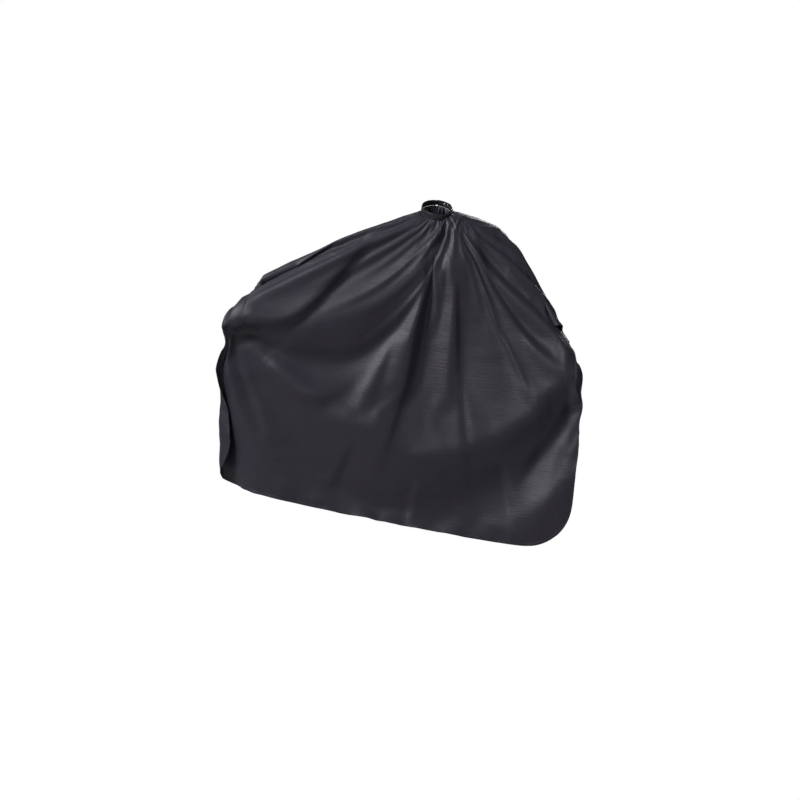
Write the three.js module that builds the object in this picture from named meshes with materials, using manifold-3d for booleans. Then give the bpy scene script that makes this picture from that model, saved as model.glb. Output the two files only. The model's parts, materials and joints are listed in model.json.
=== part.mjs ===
// A barber cape, worn and held out to the sides by the hands: one cut of woven cloth with a
// hemmed edge and a slit at the back, gathered into a three-ply neckband that closes at the
// nape with a tab and press studs. Millimetres, +Z up, front towards -Y, origin at the middle
// of the neck opening.

import * as THREE from 'three';
import { mergeVertices } from 'three/addons/utils/BufferGeometryUtils.js';
import Module from 'manifold-3d';

// The cloth, as it is cut flat
const cutWidth = 1300;
const cutFront = 1130;
const cutBack = 300;
const frontCornerRadius = 150;
const backCornerRadius = 140;
const clothThickness = 1.5;
const neckFullness = 1.35;

// The neckband: three plies round the neck, higher at the nape than at the throat
const neckWidth = 102;
const neckDepth = 124;
const bandHeight = 20;
const bandPlyThickness = 0.4;
const interliningThickness = 0.6;
const bandTilt = 27;
const bandRoll = 7;
const bandFacets = 50;
const napeGap = 10;

// The closure tab, and the press studs that it takes
const tabFacets = 8;
const tabHeight = 18;
const tabLiftFacets = 1;
const snapPitchFacets = 2;
const firstSnapFacet = 3;
const snapsOnTab = 2;
const studsOnBand = 4;
const snapDiameter = 9.5;
const snapShankDiameter = 2.4;
const studHeadDiameter = 3.6;
const studHeadHeight = 1.2;
const snapFlange = 0.5;
const socketDepth = 1.6;
const capRise = 1.1;
const studNeck = 0.86;
const studShoulder = 0.6;
const studCrown = 0.7;
const capRim = { across: 1, up: 0.45 };
const capShoulder = { across: 0.8, up: 0.85 };
const capCrown = { across: 0.45, up: 1 };
const snapSides = 16;

// The sewing thread
const threadThickness = 0.5;
const bandStitchMargin = 2.5;

// Where the hands hold the side edges
const gripDrop = 585;
const leftHand = { down: 29.2, forward: 11, slack: 27 };
const rightHand = { down: 52.3, forward: 13.9, slack: 66 };

// The wearer under the cloth
const shoulder = { out: 165, down: 112, back: 10, radius: 64 };
const elbow = { radius: 42, out: 34, up: 30, back: 30 };
const wrist = { radius: 24, inset: 60 };
const collar = { out: 46, down: 70, radius: 60 };
const torso = { out: 62, top: 200, bottom: 900, radius: 102 };

// Clearances
const gap = 0.3;
const snapPlay = 0.9;
const shankPlay = 0.3;
const concavePlay = 0.55;

// How finely the cloth is divided, and how it is let fall
const cellsAboveGrip = 14;
const cellsBelowGrip = 11;
const ringCells = 13;
const fallSteps = 260;
const spreadShare = 0.35;
const fallPasses = 16;
const stepTime = 1 / 60;
const gravity = 9810;
const airDrag = 0.985;
const clothFriction = 0.6;
const alongRings = { pull: 1, push: 0.04 };
const alongRays = { pull: 1, push: 0.1 };
const acrossCells = { pull: 0.35, push: 0.15 };
const foldAlongRings = { pull: 0.3, push: 0.13 };
const foldAlongRays = { pull: 0.3, push: 0.16 };
const slitSpread = 9;
const slitRays = 7;
const creasePasses = 7;
const creaseEasing = 0.5;

const wasm = await Module();
wasm.setup();

const radians = THREE.MathUtils.degToRad;
const vec = (x, y, z) => new THREE.Vector3(x, y, z);

const black = { color: 0x2c2a30, roughness: 0.55, metalness: 0 };
const satinBlack = { color: 0x242228, roughness: 0.5, metalness: 0 };
const interfacing = { color: 0x8f8d88, roughness: 0.95, metalness: 0 };
const thread = { color: 0x1d1b20, roughness: 0.7, metalness: 0 };
const nickel = { color: 0xb9b7b2, roughness: 0.3, metalness: 1 };
const paintedCap = { color: 0x1b1a1d, roughness: 0.35, metalness: 0.6 };

const cape = new THREE.Group();
cape.name = 'barber_cape';
const neck = new THREE.Group();
neck.rotation.set(radians(bandTilt), radians(bandRoll), 0);
cape.add(neck);

function addPiece(parent, name, geometry, finish) {
  const mesh = new THREE.Mesh(geometry, new THREE.MeshStandardMaterial(finish));
  mesh.name = name;
  parent.add(mesh);
  return mesh;
}

// ---- Joining and cutting ----

function toSolid(geometry) {
  const bare = geometry.clone();
  bare.deleteAttribute('normal');
  bare.deleteAttribute('uv');
  const welded = mergeVertices(bare, 1e-4);
  return new wasm.Manifold(new wasm.Mesh({
    numProp: 3,
    vertProperties: new Float32Array(welded.attributes.position.array),
    triVerts: new Uint32Array(welded.index.array),
  }));
}

function toGeometry(solid) {
  const mesh = solid.getMesh();
  const geometry = new THREE.BufferGeometry();
  geometry.setAttribute('position', new THREE.BufferAttribute(mesh.vertProperties, 3));
  geometry.setIndex(new THREE.BufferAttribute(mesh.triVerts, 1));
  geometry.computeVertexNormals();
  return geometry;
}

function cutAway(geometry, cutters) {
  const rest = cutters.reduce((solid, cutter) => solid.subtract(toSolid(cutter)), toSolid(geometry));
  return toGeometry(rest);
}

// ---- Round the neck: angles run from the nape, by +X, to the throat ----

const bandThickness = 2 * bandPlyThickness + interliningThickness + 2 * gap;
const facetAngle = (360 - napeGap) / bandFacets;
const bandStart = napeGap / 2;
const facetEdge = (facet) => bandStart + facet * facetAngle;
const tabRootAngle = facetEdge(bandFacets) - 360;

function neckPoint(angle, outward) {
  const t = radians(angle);
  const point = new THREE.Vector2(neckWidth / 2 * Math.sin(t), neckDepth / 2 * Math.cos(t));
  const normal = new THREE.Vector2(Math.sin(t) / neckWidth, Math.cos(t) / neckDepth).normalize();
  return point.addScaledVector(normal, outward);
}

// A strip that stands on edge round the neck, from one angle to the next in the list
function bandStrip(angles, outwardAt, thickness, height) {
  const outer = angles.map((angle) => neckPoint(angle, outwardAt(angle) + thickness));
  const inner = angles.map((angle) => neckPoint(angle, outwardAt(angle)));
  const outline = new THREE.Shape([...inner, ...outer.reverse()]);
  const geometry = new THREE.ExtrudeGeometry(outline, { depth: height, bevelEnabled: false });
  return geometry.translate(0, 0, -height / 2);
}

const ringAngles = Array.from({ length: bandFacets + 1 }, (_, facet) => facetEdge(facet));

// The tab leaves the band's left end, steps outwards over the right end and follows it
const tabStart = tabRootAngle + THREE.MathUtils.radToDeg(gap / (neckWidth / 2));
const liftEnd = facetEdge(0) - facetAngle / 4;
const tabAngles = [tabStart, (tabStart + liftEnd) / 2, liftEnd];
for (let facet = 1; facet <= tabFacets - tabLiftFacets; facet += 1) {
  tabAngles.push(facetEdge(facet));
}
const stackHeight = snapFlange + gap + socketDepth;
const tabLift = bandThickness + gap + stackHeight + gap;

function tabOutward(angle) {
  return tabLift * THREE.MathUtils.smoothstep(angle, tabStart, liftEnd);
}

const plies = [
  { ply: 'facing', outward: 0, thickness: bandPlyThickness, finish: satinBlack },
  { ply: 'interlining', outward: bandPlyThickness + gap, thickness: interliningThickness,
    finish: interfacing },
  { ply: 'outer', outward: bandPlyThickness + interliningThickness + 2 * gap,
    thickness: bandPlyThickness, finish: satinBlack },
];

// A place over the middle of a band facet: its +Z points straight out of the flat facet
function facetPlace(facet, outward) {
  const a = neckPoint(facetEdge(facet), 0);
  const b = neckPoint(facetEdge(facet + 1), 0);
  const up = vec(0, 0, 1);
  const out = vec(a.y - b.y, b.x - a.x, 0).normalize();
  const middle = vec((a.x + b.x) / 2, (a.y + b.y) / 2, 0).addScaledVector(out, outward);
  return new THREE.Matrix4().makeBasis(up.clone().cross(out), up, out).setPosition(middle);
}

const snapFacets = Array.from({ length: studsOnBand }, (_, k) => firstSnapFacet + k * snapPitchFacets);

function shankHole(facet) {
  const radius = snapShankDiameter / 2 + shankPlay;
  const hole = new THREE.CylinderGeometry(radius, radius, 6 * tabLift, snapSides);
  return hole.rotateX(Math.PI / 2).applyMatrix4(facetPlace(facet, 0));
}

const bandHoles = snapFacets.map(shankHole);
const tabHoles = snapFacets.slice(0, snapsOnTab).map(shankHole);

for (const { ply, outward, thickness, finish } of plies) {
  const band = bandStrip(ringAngles, () => outward, thickness, bandHeight);
  addPiece(neck, `neckband_${ply}`, cutAway(band, bandHoles), finish);
  const tab = bandStrip(tabAngles, (angle) => outward + tabOutward(angle), thickness, tabHeight);
  addPiece(neck, `tab_${ply}`, cutAway(tab, tabHoles), finish);
}

// ---- Rows of stitching along the band and the tab ----

function addTopstitch(name, angles, outwardAt, height) {
  const up = height / 2 - bandStitchMargin;
  for (const [row, level] of [['upper', up], ['lower', -up]]) {
    const strip = bandStrip(angles, outwardAt, threadThickness, threadThickness);
    addPiece(neck, `${name}_topstitch_${row}`, strip.translate(0, 0, level), thread);
  }
}

const firstFreeFacet = snapFacets.at(-1) + 2;
addTopstitch('neckband', ringAngles.slice(firstFreeFacet), () => bandThickness + gap, bandHeight);
addTopstitch('tab', tabAngles, (angle) => bandThickness + gap + tabOutward(angle), tabHeight);

// ---- Press studs ----

function turned(points) {
  const profile = points.map(([radius, height]) => new THREE.Vector2(radius, height));
  return new THREE.LatheGeometry(profile, snapSides).rotateX(Math.PI / 2);
}

const snapRadius = snapDiameter / 2;
const shankRadius = snapShankDiameter / 2;
const headRadius = studHeadDiameter / 2;
const boreRadius = headRadius + snapPlay;

// Post: a flange against the skin side, its shank through the band and up to the stud
function postGeometry() {
  const shankEnd = concavePlay + bandThickness + gap / 2;
  return turned([
    [0, -snapFlange], [snapRadius - snapFlange, -snapFlange], [snapRadius, -snapFlange / 2],
    [snapRadius, 0], [shankRadius, 0], [shankRadius, shankEnd], [0, shankEnd],
  ]);
}

// Stud: a flange on the band's outer ply, with a round head
function studGeometry() {
  const top = snapFlange + studHeadHeight;
  return turned([
    [0, 0], [snapRadius, 0], [snapRadius, snapFlange], [headRadius * studNeck, snapFlange],
    [headRadius, snapFlange + studHeadHeight * studShoulder], [headRadius * studCrown, top], [0, top],
  ]);
}

// Socket: a ring that takes the stud's head, closed at its back
function socketGeometry() {
  const back = socketDepth;
  const floor = socketDepth - snapFlange / 2;
  return turned([
    [0, floor], [boreRadius, floor], [boreRadius, 0], [snapRadius - snapFlange, 0],
    [snapRadius, snapFlange / 2], [snapRadius, back], [0, back],
  ]);
}

// Cap: a low dome on the tab's outer ply, its shank through the plies to the socket
function capGeometry() {
  const shankEnd = -(bandThickness + gap + gap / 2);
  return turned([
    [0, shankEnd], [shankRadius, shankEnd], [shankRadius, 0], [snapRadius, 0],
    ...[capRim, capShoulder, capCrown].map(({ across, up }) => [snapRadius * across, capRise * up]),
    [0, capRise],
  ]);
}

snapFacets.forEach((facet, k) => {
  const place = (geometry, outward) => geometry.applyMatrix4(facetPlace(facet, outward));
  addPiece(neck, `snap_post_${k + 1}`, place(postGeometry(), -concavePlay), nickel);
  addPiece(neck, `snap_stud_${k + 1}`, place(studGeometry(), bandThickness + gap), nickel);
  if (k < snapsOnTab) {
    const socketOut = bandThickness + gap + snapFlange + gap;
    addPiece(neck, `snap_socket_${k + 1}`, place(socketGeometry(), socketOut), nickel);
    const capOut = tabLift + bandThickness + gap;
    addPiece(neck, `snap_cap_${k + 1}`, place(capGeometry(), capOut), paintedCap);
  }
});

// ---- The cloth, flat ----

const halfWidth = cutWidth / 2;
const neckCutRadius = (Math.PI * (neckWidth + neckDepth) / 2) * neckFullness / (2 * Math.PI);

// Half of the outline, in two stretches: slit to grip, and grip to the middle of the front hem
function outlineStretches(side) {
  const rightTurn = Math.PI / 2;
  const upper = new THREE.Path();
  upper.moveTo(0, cutBack);
  upper.lineTo(halfWidth - backCornerRadius, cutBack);
  upper.absarc(halfWidth - backCornerRadius, cutBack - backCornerRadius, backCornerRadius,
    rightTurn, 0, true);
  upper.lineTo(halfWidth, -gripDrop);
  const lower = new THREE.Path();
  lower.moveTo(halfWidth, -gripDrop);
  lower.lineTo(halfWidth, frontCornerRadius - cutFront);
  lower.absarc(halfWidth - frontCornerRadius, frontCornerRadius - cutFront, frontCornerRadius,
    0, -rightTurn, true);
  lower.lineTo(0, -cutFront);
  const points = [
    ...upper.getSpacedPoints(cellsAboveGrip),
    ...lower.getSpacedPoints(cellsBelowGrip).slice(1),
  ];
  return points.map((point) => vec(side * point.x, point.y, 0));
}

const outline = [...outlineStretches(1), ...outlineStretches(-1).reverse().slice(1)];
const rays = outline.length - 1;
const rings = ringCells;
const at = (ray, ring) => ray * (rings + 1) + ring;
const rightGrip = at(cellsAboveGrip, rings);
const leftGrip = at(rays - cellsAboveGrip, rings);

function flatCloth() {
  const points = [];
  for (let ray = 0; ray <= rays; ray += 1) {
    const turn = (2 * Math.PI * ray) / rays;
    const start = vec(neckCutRadius * Math.sin(turn), neckCutRadius * Math.cos(turn), 0);
    for (let ring = 0; ring <= rings; ring += 1) {
      points.push(start.clone().lerp(outline[ray], ring / rings));
    }
  }
  return points;
}

// ---- Where the cloth is held ----

const flat = flatCloth();

function handPlace(side, hand) {
  const reach = Math.hypot(halfWidth, gripDrop) - hand.slack
    - neckCutRadius + (neckWidth + neckDepth) / 4;
  const down = radians(hand.down);
  const forward = radians(hand.forward);
  return vec(side * Math.cos(down) * Math.cos(forward), -Math.sin(forward),
    -Math.sin(down) * Math.cos(forward)).multiplyScalar(reach);
}

const held = new Map();
const hands = { left: handPlace(-1, leftHand), right: handPlace(1, rightHand) };
held.set(leftGrip, hands.left);
held.set(rightGrip, hands.right);

neck.updateMatrixWorld(true);
const seamOut = (bandThickness - clothThickness) / 2;
const seamNormals = [];
for (let ray = 0; ray <= rays; ray += 1) {
  const angle = facetEdge((ray / rays) * bandFacets);
  const rim = neckPoint(angle, seamOut + clothThickness / 2);
  held.set(at(ray, 0), neck.localToWorld(vec(rim.x, rim.y, -bandHeight / 2 - gap)));
  const outward = vec(Math.sin(radians(angle)), Math.cos(radians(angle)), 0);
  seamNormals.push(outward.transformDirection(neck.matrixWorld));
}

// ---- The wearer, as round-ended limbs ----

function limbs() {
  const list = [];
  for (const [side, hand] of [[-1, hands.left], [1, hands.right]]) {
    const top = vec(side * shoulder.out, shoulder.back, -shoulder.down);
    const grip = hand.clone().lerp(top, wrist.inset / hand.distanceTo(top));
    const bend = top.clone().lerp(grip, 0.5).add(vec(side * elbow.out, elbow.back, elbow.up));
    list.push({ a: vec(side * collar.out, shoulder.back, -collar.down), b: top,
      ra: collar.radius, rb: shoulder.radius });
    list.push({ a: top, b: bend, ra: shoulder.radius, rb: elbow.radius });
    list.push({ a: bend, b: grip, ra: elbow.radius, rb: wrist.radius });
    list.push({ a: vec(side * torso.out, shoulder.back, -torso.top),
      b: vec(side * torso.out, shoulder.back, -torso.bottom), ra: torso.radius, rb: torso.radius });
  }
  return list;
}

const body = limbs().map((limb) => ({ ...limb, axis: limb.b.clone().sub(limb.a) }));

// ---- Letting the cloth fall ----

function threads() {
  const list = [];
  const link = (p, q, { pull, push }) => {
    list.push({ p, q, rest: flat[p].distanceTo(flat[q]), pull, push });
  };
  for (let ray = 0; ray <= rays; ray += 1) {
    for (let ring = 0; ring <= rings; ring += 1) {
      const here = at(ray, ring);
      if (ray < rays) link(here, at(ray + 1, ring), alongRings);
      if (ring < rings) link(here, at(ray, ring + 1), alongRays);
      if (ray < rays && ring < rings) {
        link(here, at(ray + 1, ring + 1), acrossCells);
        link(at(ray + 1, ring), at(ray, ring + 1), acrossCells);
      }
      const { pull, push } = foldAlongRings;
      if (ray + 2 <= rays) link(here, at(ray + 2, ring), { pull, push: push * ring / rings });
      if (ring + 2 <= rings) link(here, at(ray, ring + 2), foldAlongRays);
    }
  }
  return list;
}

function pullTogether(points, { p, q, rest, pull, push }) {
  const a = points[p];
  const b = points[q];
  const length = a.distanceTo(b);
  const wa = held.has(p) ? 0 : 1;
  const wb = held.has(q) ? 0 : 1;
  if (wa + wb === 0 || length === 0) return;
  const share = (length > rest ? pull : push) * (length - rest) / (length * (wa + wb));
  const dx = (b.x - a.x) * share;
  const dy = (b.y - a.y) * share;
  const dz = (b.z - a.z) * share;
  if (wa) a.set(a.x + dx, a.y + dy, a.z + dz);
  if (wb) b.set(b.x - dx, b.y - dy, b.z - dz);
}

const nearest = vec(0, 0, 0);
function keepOutside(point, before, { a, axis, ra, rb }) {
  const along = nearest.copy(point).sub(a).dot(axis) / axis.lengthSq();
  const t = Math.min(1, Math.max(0, along));
  const radius = ra + (rb - ra) * t + clothThickness;
  nearest.copy(a).addScaledVector(axis, t);
  const distance = nearest.distanceTo(point);
  if (distance >= radius || distance === 0) return;
  nearest.sub(point).multiplyScalar(-(radius - distance) / distance);
  point.add(nearest);
  before.lerp(point, clothFriction);
}

function fall() {
  const points = flat.map((point) => point.clone());
  const before = points.map((point) => point.clone());
  const links = threads();
  const startPlaces = new Map([...held.keys()].map((k) => [k, flat[k].clone()]));
  for (let step = 1; step <= fallSteps; step += 1) {
    const moved = THREE.MathUtils.smootherstep(step, 0, fallSteps * spreadShare);
    for (const [k, place] of held) points[k].lerpVectors(startPlaces.get(k), place, moved);
    points.forEach((point, k) => {
      if (held.has(k)) return;
      const speed = point.clone().sub(before[k]).multiplyScalar(airDrag);
      before[k].copy(point);
      point.add(speed);
      point.z -= gravity * stepTime * stepTime;
    });
    for (let pass = 0; pass < fallPasses; pass += 1) {
      for (const link of links) pullTogether(points, link);
      points.forEach((point, k) => {
        if (held.has(k)) return;
        for (const limb of body) keepOutside(point, before[k], limb);
      });
      keepSlitOpen(points);
    }
  }
  return points;
}

// The sharp creases of the coarse net are eased, within the sheet and along its edges
function easeCreases(points) {
  for (let pass = 0; pass < creasePasses; pass += 1) {
    const old = points.map((point) => point.clone());
    for (let ray = 0; ray <= rays; ray += 1) {
      for (let ring = 1; ring <= rings; ring += 1) {
        if (held.has(at(ray, ring))) continue;
        const beside = [];
        if (ray > 0 && ray < rays) beside.push(at(ray - 1, ring), at(ray + 1, ring));
        if (ring < rings) beside.push(at(ray, ring - 1), at(ray, ring + 1));
        if (!beside.length) continue;
        const middle = beside.reduce((sum, k) => sum.add(old[k]), vec(0, 0, 0));
        points[at(ray, ring)].lerp(middle.divideScalar(beside.length), creaseEasing);
      }
    }
  }
  return points;
}

// Each half of the back stays on its own side of the slit
function keepSlitOpen(points) {
  const edge = neckPoint(facetEdge(0), 0).x;
  for (let ray = 0; ray <= slitRays; ray += 1) {
    const clear = edge + ray * slitSpread;
    for (let ring = 1; ring <= rings; ring += 1) {
      const right = points[at(ray, ring)];
      const left = points[at(rays - ray, ring)];
      right.x = Math.max(right.x, clear);
      left.x = Math.min(left.x, -clear);
    }
  }
}

// ---- The cloth as a closed sheet ----

function sheetGeometry(points) {
  const triangles = [];
  for (let ray = 0; ray < rays; ray += 1) {
    for (let ring = 0; ring < rings; ring += 1) {
      const [a, b] = [at(ray, ring), at(ray + 1, ring)];
      const [c, d] = [at(ray + 1, ring + 1), at(ray, ring + 1)];
      triangles.push([a, b, c], [a, c, d]);
    }
  }
  const middle = new THREE.BufferGeometry().setFromPoints(points);
  middle.setIndex(triangles.flat());
  middle.computeVertexNormals();
  const normals = middle.attributes.normal;
  const count = points.length;
  const positions = new Float32Array(count * 6);
  for (let k = 0; k < count; k += 1) {
    const normal = vec(0, 0, 0).fromBufferAttribute(normals, k);
    if (k % (rings + 1) === 0) normal.copy(seamNormals[k / (rings + 1)]);
    points[k].clone().addScaledVector(normal, clothThickness / 2).toArray(positions, k * 3);
    points[k].clone().addScaledVector(normal, -clothThickness / 2)
      .toArray(positions, (count + k) * 3);
  }
  const faces = triangles.flatMap(([a, b, c]) => [[a, b, c], [count + a, count + c, count + b]]);
  for (const [a, b] of rimEdges()) {
    faces.push([b, a, count + a], [b, count + a, count + b]);
  }
  const sheet = new THREE.BufferGeometry();
  sheet.setAttribute('position', new THREE.BufferAttribute(positions, 3));
  sheet.setIndex(faces.flat());
  sheet.computeVertexNormals();
  return sheet;
}

// The sheet's open edges, each in the direction that its own face runs
function rimEdges() {
  const edges = [];
  for (let ray = 0; ray < rays; ray += 1) {
    edges.push([at(ray, 0), at(ray + 1, 0)], [at(ray + 1, rings), at(ray, rings)]);
  }
  for (let ring = 0; ring < rings; ring += 1) {
    edges.push([at(0, ring + 1), at(0, ring)], [at(rays, ring), at(rays, ring + 1)]);
  }
  return edges;
}

addPiece(cape, 'cape_panel', sheetGeometry(easeCreases(fall())), black);

export default cape;
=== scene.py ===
"""A barber cape, worn and held out to the sides: one cut of black woven cloth with a turned hem
and a slit at the back, gathered into a stand-up neckband that closes at the nape with a tab and
press studs. Metres, +Z up, front towards -Y, origin at the middle of the neck opening.
"""

import json
import math

import bmesh
import bpy
import numpy as np
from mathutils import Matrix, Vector, noise


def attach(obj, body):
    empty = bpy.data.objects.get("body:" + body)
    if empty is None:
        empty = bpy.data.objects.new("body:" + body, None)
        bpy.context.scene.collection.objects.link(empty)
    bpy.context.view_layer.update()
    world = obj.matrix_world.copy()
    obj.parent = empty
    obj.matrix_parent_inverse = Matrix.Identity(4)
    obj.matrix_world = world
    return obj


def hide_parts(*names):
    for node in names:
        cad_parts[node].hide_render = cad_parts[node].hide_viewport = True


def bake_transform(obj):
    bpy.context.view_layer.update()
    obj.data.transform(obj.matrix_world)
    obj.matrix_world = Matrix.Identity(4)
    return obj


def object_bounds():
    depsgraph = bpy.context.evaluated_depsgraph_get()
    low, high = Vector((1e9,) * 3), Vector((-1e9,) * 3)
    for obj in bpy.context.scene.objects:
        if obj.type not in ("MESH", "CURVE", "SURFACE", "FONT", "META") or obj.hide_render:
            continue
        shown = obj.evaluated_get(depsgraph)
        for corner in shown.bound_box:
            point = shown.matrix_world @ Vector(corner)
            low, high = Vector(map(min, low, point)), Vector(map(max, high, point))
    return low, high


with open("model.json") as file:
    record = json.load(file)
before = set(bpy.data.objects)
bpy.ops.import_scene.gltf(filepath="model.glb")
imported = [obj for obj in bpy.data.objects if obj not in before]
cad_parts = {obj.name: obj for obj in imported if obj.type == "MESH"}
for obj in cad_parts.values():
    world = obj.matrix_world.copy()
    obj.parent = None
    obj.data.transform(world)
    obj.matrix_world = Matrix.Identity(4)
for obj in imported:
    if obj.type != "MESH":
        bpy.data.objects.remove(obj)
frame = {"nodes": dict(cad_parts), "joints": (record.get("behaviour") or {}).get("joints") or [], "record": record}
cad_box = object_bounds()
scene = bpy.context.scene

# ---- The cape panel ----
# One piece of plain-weave polyester, cut flat as a rounded oblong with a round hole for the
# neck and a slit from the hole to the back edge. It is gathered into the neckband, falls over
# the wearer's shoulders and arms, and both hands hold its side edges out.

CUT_WIDTH = 1.30
CUT_FRONT = 1.13
CUT_BACK = 0.30
FRONT_CORNER = 0.15
BACK_CORNER = 0.14
NECK_FULLNESS = 1.35
CLOTH_THICKNESS = 0.0005
GRIP_DROP = 0.585
PLY = 0.0004
BAND_HEIGHT = 0.020


def node_points(name):
    """The corners of a frame node, as an array."""
    return np.array([v.co for v in frame["nodes"][name].data.vertices])


def unit(vector):
    """Vectors of length 1, along the last axis."""
    return vector / np.maximum(np.linalg.norm(vector, axis=-1, keepdims=True), 1e-9)


# The neckband's own axes: across, front to back, and up through its opening
hinge = frame["joints"][0]
neck_up = np.array(hinge["axis"])
neck_back = unit(np.cross(neck_up, (1, 0, 0)))
neck_across = np.cross(neck_back, neck_up)
neck_axes = np.array([neck_across, neck_back, neck_up])
facing_size = np.abs(node_points("neckband_facing") @ neck_axes.T).max(axis=0)
neck_half = facing_size[:2] - PLY
mounts = {mount["name"]: np.array(mount["pos_m"]) for mount in frame["record"]["mounts"]}
hands = {-1: mounts["left_hand_grip"], 1: mounts["right_hand_grip"]}

SIM_RAYS = 160
SIM_RINGS = 48
CORNER_POINTS = 81
neck_cut = neck_half.mean() * NECK_FULLNESS
half_width = CUT_WIDTH / 2


def cut_outline(count):
    """Evenly spaced points round the cut, from the slit by the wearer's left side; y is forwards."""
    corners = [
        (half_width - BACK_CORNER, BACK_CORNER - CUT_BACK, BACK_CORNER, -90),
        (half_width - FRONT_CORNER, CUT_FRONT - FRONT_CORNER, FRONT_CORNER, 0),
        (FRONT_CORNER - half_width, CUT_FRONT - FRONT_CORNER, FRONT_CORNER, 90),
        (BACK_CORNER - half_width, BACK_CORNER - CUT_BACK, BACK_CORNER, 180),
    ]
    points = [(0.0, -CUT_BACK)]
    for x, y, radius, start in corners:
        for angle in np.radians(np.linspace(start, start + 90, CORNER_POINTS)):
            points.append((x + radius * math.cos(angle), y + radius * math.sin(angle)))
    points = np.array(points + [(0.0, -CUT_BACK)])
    along = np.append(0, np.cumsum(np.linalg.norm(np.diff(points, axis=0), axis=1)))
    wanted = np.linspace(0, along[-1], count)
    return np.stack([np.interp(wanted, along, points[:, k]) for k in (0, 1)], axis=1)


def ring_share(ring):
    """How far out from the neck a ring lies, from 0 to 1; rings are closer near the neck."""
    share = np.asarray(ring) / SIM_RINGS
    return 0.55 * share + 0.45 * share**1.6


outline = cut_outline(SIM_RAYS + 1)
turn = np.radians(np.linspace(-90, 270, SIM_RAYS + 1))
neckline_cut = neck_cut * np.stack([np.cos(turn), np.sin(turn)], axis=1)
shares = ring_share(np.arange(SIM_RINGS + 1))[None, :, None]
flat = neckline_cut[:, None] * (1 - shares) + outline[:, None] * shares


def over_rail():
    """The flat cut hung over a round rail: the front falls in front of the wearer, the rest behind."""
    rail_radius, rail_y, rail_z = 0.17, -0.03, -0.14
    quarter = rail_radius * math.pi / 2
    forward = flat[..., 1]
    angle = np.clip(forward, -quarter, quarter) / rail_radius
    below = np.maximum(np.abs(forward) - quarter, 0)
    return np.stack([
        flat[..., 0],
        rail_y - rail_radius * np.sin(angle),
        rail_z + rail_radius * np.cos(angle) - below,
    ], axis=-1)


BUNCH_REACH = 0.034
KNUCKLE_CLIMB = 0.115
OVER_HAND_WIDTH = 0.024


def held_places():
    """Where the neckline and the edges in the hands are taken, and which points are held."""
    places = over_rail()
    held = np.zeros(flat.shape[:2], bool)
    seam_half = neck_half + 0.0005
    around = np.stack([seam_half[0] * np.cos(turn), -seam_half[1] * np.sin(turn)], axis=1)
    places[:, 0] = around @ neck_axes[:2] - neck_up * (BAND_HEIGHT / 2 + 0.0005)
    held[:, 0] = True
    for side, hand in hands.items():
        inwards = np.abs(flat[..., 0] - side * half_width)
        above = GRIP_DROP - flat[..., 1]
        # The fingers bunch a patch of the edge
        bunch = np.hypot(inwards, above) < BUNCH_REACH
        places[bunch] = hand + np.stack([
            -side * inwards * 0.55, 0.006 * np.sin(-above * 400), above * 0.40], axis=-1)[bunch]
        # Above them the edge lies over the knuckles and then behind the wrist
        knuckles = np.array([0.045, 0.030, 0.082] if side < 0 else [-0.012, 0.030, 0.105])
        climb = above / KNUCKLE_CLIMB
        over = (inwards < OVER_HAND_WIDTH) & (climb > 0.2) & (climb < 1.5)
        rise = np.minimum(climb, 1)[..., None]
        past = (np.maximum(climb - 1, 0) * KNUCKLE_CLIMB)[..., None]
        bulge = side * 0.012 * np.sin(math.pi * rise)
        on_hand = hand + knuckles * rise + past * np.array([-side * 0.3, 0.9, -0.3])
        on_hand = on_hand + bulge * np.array([1, 0, 0])
        on_hand = on_hand + inwards[..., None] * np.array([-side * 0.8, 0, 0.3])
        places[over] = on_hand[over]
        held |= bunch | over
    return places, held


def form(start, end, start_radius, end_radius):
    """A round-ended limb of the wearer, which holds the cloth up and is taken away afterwards."""
    mesh = bpy.data.meshes.new("form")
    body = bmesh.new()
    axis = Vector(end) - Vector(start)
    turned = axis.to_track_quat("Z", "Y").to_matrix().to_4x4()
    bmesh.ops.create_uvsphere(body, u_segments=24, v_segments=16, radius=1)
    for vertex in body.verts:
        at_end = vertex.co.z > 1e-4
        radius = end_radius if at_end else start_radius
        lift = axis.length if at_end else 0
        vertex.co = Vector(start) + turned @ (vertex.co * radius + Vector((0, 0, lift)))
    body.to_mesh(mesh)
    body.free()
    limb = bpy.data.objects.new("form", mesh)
    scene.collection.objects.link(limb)
    limb.modifiers.new("Collision", "COLLISION")
    limb.collision.thickness_outer = 0.004
    limb.collision.thickness_inner = 0.05
    limb.collision.cloth_friction = 5
    return limb


def wearer():
    """The wearer's chest, shoulders, arms and fists."""
    limbs = []
    for side, hand in hands.items():
        shoulder = np.array([side * 0.165, 0.010, -0.112])
        wrist = hand + unit(shoulder - hand) * 0.060
        elbow = (shoulder + wrist) / 2 + np.array([0, 0.030, 0.020])
        fist = hand + np.array([0.060 if side < 0 else -0.021, 0.030, 0.045])
        hip = np.array([side * 0.062, 0.010, -0.900])
        limbs += [
            form((side * 0.046, 0.010, -0.070), shoulder, 0.060, 0.064),
            form(shoulder, elbow, 0.064, 0.042),
            form(elbow, wrist, 0.042, 0.024),
            form(elbow, fist, 0.042, 0.030),
            form(hip * (1, 1, 2 / 9), hip, 0.102, 0.102),
        ]
    return limbs


def grid_faces(rows, columns):
    """The faces of a grid of points."""
    k = np.arange(rows * columns).reshape(rows, columns)
    corners = [k[:-1, :-1], k[1:, :-1], k[1:, 1:], k[:-1, 1:]]
    return np.stack([c.ravel() for c in corners], axis=1)


HOLD_FRAMES = 30
FALL_FRAMES = 80


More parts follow.
